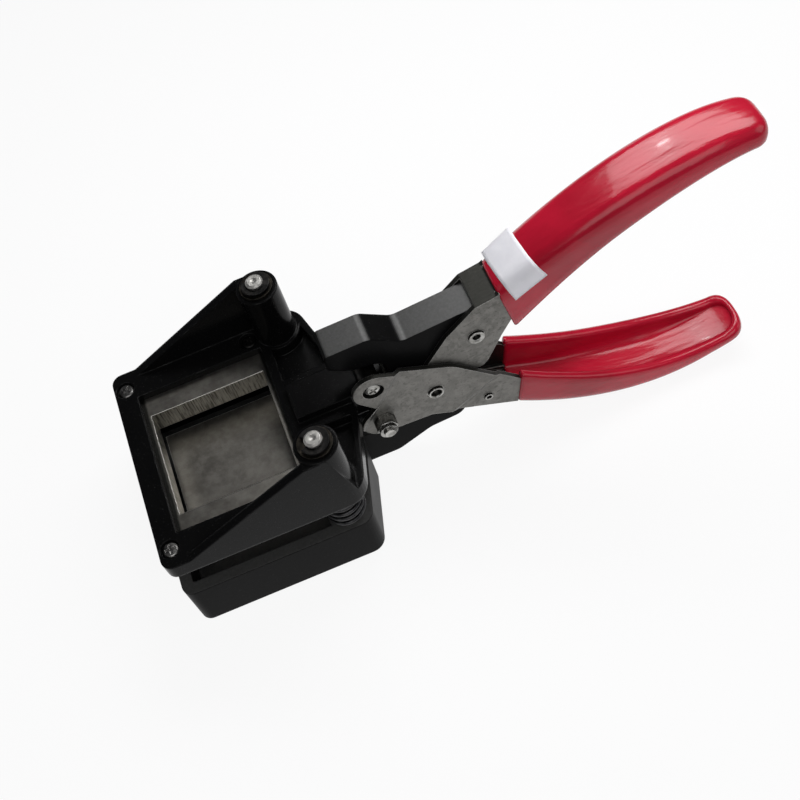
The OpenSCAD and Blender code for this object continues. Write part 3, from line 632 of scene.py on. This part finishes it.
def grip_loop(handle, along, ease=0.0):
    total = handle["length"] + tip_reach
    within = along / total * (total - end_wall)
    outer, half, low, lip, top = grip_outside(handle, along, ease)
    thick = handle["wall"] + skin_out + skin_in - 2 * ease
    x = (within - (total - end_wall - in_close)) / in_close
    wide, tall = close_up(x, *in_wide), close_up(x, *in_tall)
    least_half, least_rise = 0.04, 0.05
    half_in = max(least_half, (half - thick) * wide)
    top_in = low + max(least_rise, (top - thick - low) * tall)
    corner = min(in_corner_root + in_corner_growth * within / total, half_in * 0.8, (top_in - low) * 0.85)
    inner = channel_run(half_in, top_in, low, corner, 0.0)
    outside = [loft_point(handle, along, y, c) for y, c in outer]
    inside = [loft_point(handle, within, y, c) for y, c in inner]
    rise = loft_point(handle, along, 0.0, lip) - loft_point(handle, along, 0.0, low)

    def lip_arc(a, b):
        turns = [math.pi * i / lip_steps for i in range(1, lip_steps)]
        return [(a + b) / 2 + (a - b) / 2 * math.cos(turn) + rise * math.sin(turn) for turn in turns]

    return outside + lip_arc(outside[-1], inside[-1]) + inside[::-1] + lip_arc(inside[0], outside[0])


print("a loop has", len(grip_loop(handles["upper"], 20.0)), "points")

# %% [markdown]
# ### From loops to a closed mesh
# Each mesh that is made for the tool is closed and faces outward, so that it has an inside and a volume
# like the CAD solids. A grip's last loop is folded flat onto the tool's middle plane. Its near and far
# points then meet, and welding them closes the tip without a slit.

# %% Mesh, loft and caps
weld_gap = 0.004 * MM


def mesh_piece(name, points, faces, welded=0):
    shape = bpy.data.meshes.new(name)
    shape.from_pydata(points, [], faces)
    shape.validate()
    shape.polygons.foreach_set("use_smooth", [True] * len(shape.polygons))
    skin = bmesh.new()
    skin.from_mesh(shape)
    skin.verts.ensure_lookup_table()
    if welded:
        bmesh.ops.remove_doubles(skin, verts=skin.verts[-welded:], dist=weld_gap)
    bmesh.ops.recalc_face_normals(skin, faces=skin.faces)
    skin.to_mesh(shape)
    skin.free()
    return into_scene(name, shape)


def loft(name, loops, caps, welded=0):
    count = len(loops[0])
    points = [p for loop in loops for p in loop]
    faces = []
    for k in range(len(loops) - 1):
        for i in range(count):
            j = (i + 1) % count
            faces.append((k * count + i, k * count + j, (k + 1) * count + j, (k + 1) * count + i))
    return mesh_piece(name, points, faces + caps, welded)


def wall_caps(loops):
    count, last = len(loops[0]), (len(loops) - 1) * len(loops[0])
    steps = range(count // 2 - 1)
    front = [(i, count - 1 - i, count - 2 - i, i + 1) for i in steps]
    back = [(last + i + 1, last + count - 2 - i, last + count - 1 - i, last + i) for i in steps]
    return front, back


def disc_caps(loops):
    count, last = len(loops[0]), (len(loops) - 1) * len(loops[0])
    return [tuple(range(count - 1, -1, -1)), tuple(range(last, last + count))]


print("lofts ready: walled ones are capped between outside and inside, round ones by a disc")

# %% Loft both grips
rim_curve = [(0.0, 0.6), (0.1, 0.34), (0.28, 0.15), (0.5, 0.04), (0.8, 0.0)]
even_steps, tip_steps, tip_stretch = 40, 22, 8.5


def grip_piece(name, handle):
    plan = [(handle["rim"] + step, ease) for step, ease in rim_curve]
    start, total = plan[-1][0], handle["length"] + tip_reach
    steady = total - tip_stretch
    plan += [(start + (steady - start) * i / even_steps, 0.0) for i in range(1, even_steps + 1)]
    quarter = [math.pi / 2 * i / tip_steps for i in range(1, tip_steps + 1)]
    plan += [(steady + tip_stretch * math.sin(turn), 0.0) for turn in quarter]
    loops = [grip_loop(handle, along, ease) for along, ease in plan]
    loops[-1] = [Vector((p.x, 0.0, p.z)) for p in loops[-1]]
    front_cap = wall_caps(loops)[0]
    return loft(name, loops, front_cap, welded=len(loops[-1]))


for side, body in (("upper", "base_body"), ("lower", "lever_body")):
    node = "upper_grip" if side == "upper" else "lever_grip"
    grip = grip_piece(side + "_vinyl", handles[side])
    dress(grip, finishes["red_vinyl"])
    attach(grip, body)
    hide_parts(node)
    print(side, "grip:", len(grip.data.vertices), "points,", len(grip.data.polygons), "faces")

# %% [markdown]
# ## The bare label
# A strip of pale paper is stuck over the back of the upper grip, just behind its rim. It folds over the
# near corner and stands off straight at the far one. It is laid a little askew, as by hand. It takes the
# grip's own outside, lifted by the paper's thickness, so it can't sink into the vinyl. `first` and `last`
# count points along the grip's outside.

# %% Strip of paper on the upper grip
def label_piece(handle, first, last, far_along, near_along, width):
    count, rows = 26, 10
    paper_top, paper_foot, stand_off, far_drop = 0.13, 0.02, 0.1, 0.2
    back_end = wall_steps + corner_steps + back_steps
    sheets = []
    for lift in (paper_top, paper_foot):
        for row in range(rows + 1):
            for k in range(count + 1):
                share = k / count
                along = near_along + (far_along - near_along) * share + width * row / rows
                run, half = grip_outside(handle, along, 0.0, lift)[:2]
                run = run[:back_end + 1] + [(half + stand_off, run[back_end][1] - far_drop)]
                place = first + (last - first) * share
                i = min(int(place), len(run) - 2)
                a, b = Vector(run[i]), Vector(run[i + 1])
                on_run = a + (b - a) * (place - i)
                sheets.append(loft_point(handle, along, on_run.x, on_run.y))
    across, layer = count + 1, (rows + 1) * (count + 1)
    faces = []
    for row in range(rows):
        for k in range(count):
            i = row * across + k
            faces.append((i, i + 1, i + across + 1, i + across))
            faces.append((layer + i, layer + i + across, layer + i + across + 1, layer + i + 1))
    rim = list(range(across)) + [r * across + count for r in range(1, rows + 1)]
    rim += [rows * across + k for k in range(count - 1, -1, -1)]
    rim += [r * across for r in range(rows - 1, 0, -1)]
    for i, a in enumerate(rim):
        b = rim[(i + 1) % len(rim)]
        faces.append((b, a, layer + a, layer + b))
    return mesh_piece("bare_label", sheets, faces)


label = label_piece(handles["upper"], first=3.16, last=17.0, far_along=1.9, near_along=3.8, width=9.6)
dress(label, finishes["label_paper"])
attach(label, "base_body")
print("label:", len(label.data.polygons), "faces")

# %% [markdown]
# ## Floor of the lever's channel
# Ahead of the lower grip the floor of the channel runs on between the two plates, along their lower edge,
# and ends just behind the spacer. It is a short length of the same bent sheet: a floor with its two bends
# turned up. Seen from above it closes the view through the lever.

# %% Bent floor between the lever plates
def channel_floor(name, front, root, half, sheet):
    stations, side, dip, bend_out, bend_in = 8, 2.6, 0.9, 1.6, 0.15
    ahead = (root - front).normalized()
    loops = []
    for i in range(stations + 1):
        place = front + (root - front) * i / stations
        rise = side - dip * math.cos(math.pi / 2 * i / stations) ** 2
        outer = channel_run(half, 0.0, -rise, bend_out, 0.0)
        inner = channel_run(half - sheet, -sheet, -rise, bend_in, 0.0)
        section = outer + inner[::-1]
        loops.append([Vector((place.x + c * ahead.y, -y, place.y - c * ahead.x)) * MM for y, c in section])
    front_cap, root_cap = wall_caps(loops)
    return loft(name, loops, front_cap + root_cap)


floor_front, floor_root = offsets((15.35, -19.5), (23.0, -23.2))
lever_floor = channel_floor("lever_floor", floor_front, floor_root, half=5.74, sheet=1.4)
dress(lever_floor, finishes["handle_steel"])
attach(lever_floor, "lever_body")
floor_length = round((floor_root - floor_front).length, 1)
print("channel floor:", len(lever_floor.data.polygons), "faces,", floor_length, "mm long")

# %% [markdown]
# ## Hollow pins
# Rivet, pivot and spacer are tubular pins. Their ends stand proud of the plates by over half a millimetre,
# with a rolled rim and a hollow, which painted shade on its walls keeps dark. CAD keeps them as plain bars
# that end inside the plates.
# Here each is turned again: a profile of radius and reach is spun round the pin's own axis, which its CAD
# box gives.

# %% Spin a profile round a cross axis
def turned_pin(name, node, profile):
    low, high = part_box(node)
    middle_x, middle_z = (low[0] + high[0]) / 2 / MM, (low[2] + high[2]) / 2 / MM
    path = [(r, -reach) for r, reach in profile[::-1]] + list(profile)
    sides = 40
    ring = [2 * math.pi * k / sides for k in range(sides)]
    loops = [[Vector((middle_x + r * math.cos(a), reach, middle_z - r * math.sin(a))) * MM for a in ring]
             for r, reach in path]
    return loft(name, loops, disc_caps(loops))


def hollow_end(level, hole, r, face, lead, bore, depth):
    groove = [(hole, level - 0.1), (hole - 0.03, level), (r + 0.06, level - 0.9), (r + 0.02, level - 0.9)]
    rim = [(r, level - 0.7), (r, face - 0.22), (r - 0.03, face - 0.12), (r - 0.1, face - 0.04)]
    rim.append((r - 0.2, face))
    roll = [(lead + 0.1, face), (lead, face - 0.04), (bore + 0.08, face - 0.3), (bore, face - 0.42)]
    return groove + rim + roll + [(bore - 0.05, face - depth), (0.05, face - depth - 0.4)]


# %% Three pins
pins = {
    "pivot_pin": ("base_body", [(2.7, 7.0)] + hollow_end(
        level=8.3, hole=2.7, r=2.32, face=9.0, lead=1.75, bore=1.55, depth=3.4)),
    "handle_rivet": ("base_body", [(2.2, 4.0), (2.2, 4.85), (2.65, 4.9)] + hollow_end(
        level=6.5, hole=2.65, r=2.42, face=7.2, lead=2.0, bore=1.15, depth=3.0)),
    "spacer_pin": ("lever_body", [(1.55, 6.0)] + hollow_end(
        level=7.3, hole=1.55, r=1.32, face=7.9, lead=0.85, bore=0.75, depth=1.9)),
}
for node, (body, profile) in pins.items():
    pin = turned_pin("turned_" + node, node, profile)
    dress(pin, finishes["pin_steel"])
    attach(pin, body)
    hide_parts(node)
    print(node, "turned to", round(2 * max(reach for r, reach in profile), 1), "mm long")

# %% [markdown]
# ## Return springs
# A compression spring sits round each post, between its seat on the base and the frame. CAD keeps a coarse
# tube. A curve with a bevel would do; here the wire is swept as a mesh tube, one loop after another.

# %% Two springs
wire_half, coil_half, coil_turns = 0.65, 5.3, 4
spring_foot, spring_head = 18.04, 29.96
steps_a_turn, wire_sides = 48, 10


def spring_piece(name, side):
    steps = steps_a_turn * coil_turns
    ring = [2 * math.pi * k / wire_sides for k in range(wire_sides)]
    climb = (spring_head - spring_foot - 2 * wire_half) / (2 * math.pi * coil_turns)
    foot = Vector((post_axis.x / MM, side * post_axis.y / MM, spring_foot + wire_half))
    loops = []
    for i in range(steps + 1):
        a = 2 * math.pi * coil_turns * i / steps
        out = Vector((math.cos(a), math.sin(a), 0.0))
        up = Vector((climb * math.sin(a), -climb * math.cos(a), coil_half)).normalized()
        middle = foot + Vector((0.0, 0.0, climb * a)) + coil_half * out
        loops.append([(middle + wire_half * (math.cos(b) * out + math.sin(b) * up)) * MM for b in ring])
    return loft(name, loops, disc_caps(loops))


for side, name in ((-1, "near"), (1, "far")):
    spring = spring_piece("coil_" + name, side)
    dress(spring, finishes["spring_steel"])
    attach(spring, "base_body")
    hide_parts("return_spring_" + name)
    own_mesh(spring)
    print("spring", name, "has", len(spring.data.polygons), "faces")

# %% [markdown]
# ## Bench and light
# The tool rests on the front edge of its base and on the lowest point of the lower grip, so the bench top
# is a plane through those two. The room is dark, and a strip lamp hangs close behind the handles. It is
# near enough that the upper grip and the arm mirror it while the flat deck at the other end does not, and a
# small bulb further back leaves a spark on the vinyl. Three wide fills from the near side carry the
# colours. The bench top glows only for the camera and in reflections, so it looks like a white sweep and
# keeps a soft shadow.

# %% Bench top
front_rest = Vector((-24.2, 0.0, 0.0)) * MM
grip_rest = Vector((137.0, 0.0, -14.86)) * MM
slope = math.atan2(front_rest.z - grip_rest.z, grip_rest.x - front_rest.x)
clear_of_base = Vector((0, 0, -0.05 * MM))
bench_half, white_share = 2.5, 0.90
top = bpy.data.meshes.new("bench_top")
corners = [(x * bench_half, y * bench_half, 0) for x, y in ((-1, -1), (1, -1), (1, 1), (-1, 1))]
top.from_pydata(corners, [], [(0, 1, 2, 3)])
bench = into_scene("bench_top", top)
bench.matrix_world = Matrix.Translation(front_rest + clear_of_base) @ Matrix.Rotation(slope, 4, "Y")


def pale_bench():
    finish, shader, start = begin("pale_bench")
    cloud = grain(start, spot(start), 7.0, 3.0)
    card_colour = blend(start, cloud, tint(0.86, 0.86, 0.87), tint(0.90, 0.90, 0.91))
    feed(shader, Base_Color=card_colour, Roughness=0.9, Specular_IOR_Level=0.1)
    glow = start.add("ShaderNodeEmission", {}, {"Color": tint(1.0, 1.0, 1.0), "Strength": 1.0})
    path = start.add("ShaderNodeLightPath", out="Is Camera Ray")
    seen = path
    for ray in ("Is Glossy Ray", "Is Transmission Ray"):
        seen = start.maths("MAXIMUM", seen, path.beside(ray))
    card = Wire(start.tree, shader.outputs[0])
    both = start.add("ShaderNodeMixShader", {}, {0: seen * white_share, 1: card, 2: glow})
    plug(both, start.tree.nodes["Material Output"].inputs["Surface"])
    return finish


dress(bench, pale_bench())
print("bench slopes by", round(math.degrees(slope), 2), "degrees")

# %% Lamps and sky
def soft_lamp(name, spot_mm, aim_mm, size_mm, radiance):
    lamp = bpy.data.lights.new(name, "AREA")
    lamp.shape = "RECTANGLE"
    lamp.size, lamp.size_y = size_mm[0] * MM, size_mm[1] * MM
    lamp.energy = radiance * math.pi * lamp.size * lamp.size_y
    into_scene(name, lamp).matrix_world = looking(Vector(spot_mm) * MM, Vector(aim_mm) * MM)
    return lamp.energy


powers = [
    soft_lamp("strip_window", (189, 120, 262), (140, 0, 75), (290, 112), 7.2),
    soft_lamp("bare_bulb", (127, 288, 438), (137, 1, 80), (34, 10), 70.0),
    soft_lamp("front_fill", (40, -760, 900), (50, 0, 30), (1000, 700), 2.3),
    soft_lamp("left_fill", (-800, -260, 420), (40, 0, 20), (500, 500), 0.5),
    soft_lamp("right_fill", (900, -300, 420), (80, 0, 20), (500, 500), 1.6),
]
sky = bpy.data.worlds.new("soft_room")
sky.use_nodes = True
feed(sky.node_tree.nodes["Background"], Color=tint(0.93, 0.95, 1.0), Strength=0.1)
bpy.context.scene.world = sky
bpy.context.scene.view_settings.view_transform = "Standard"
print("lamp powers in watts:", [round(p, 2) for p in powers])
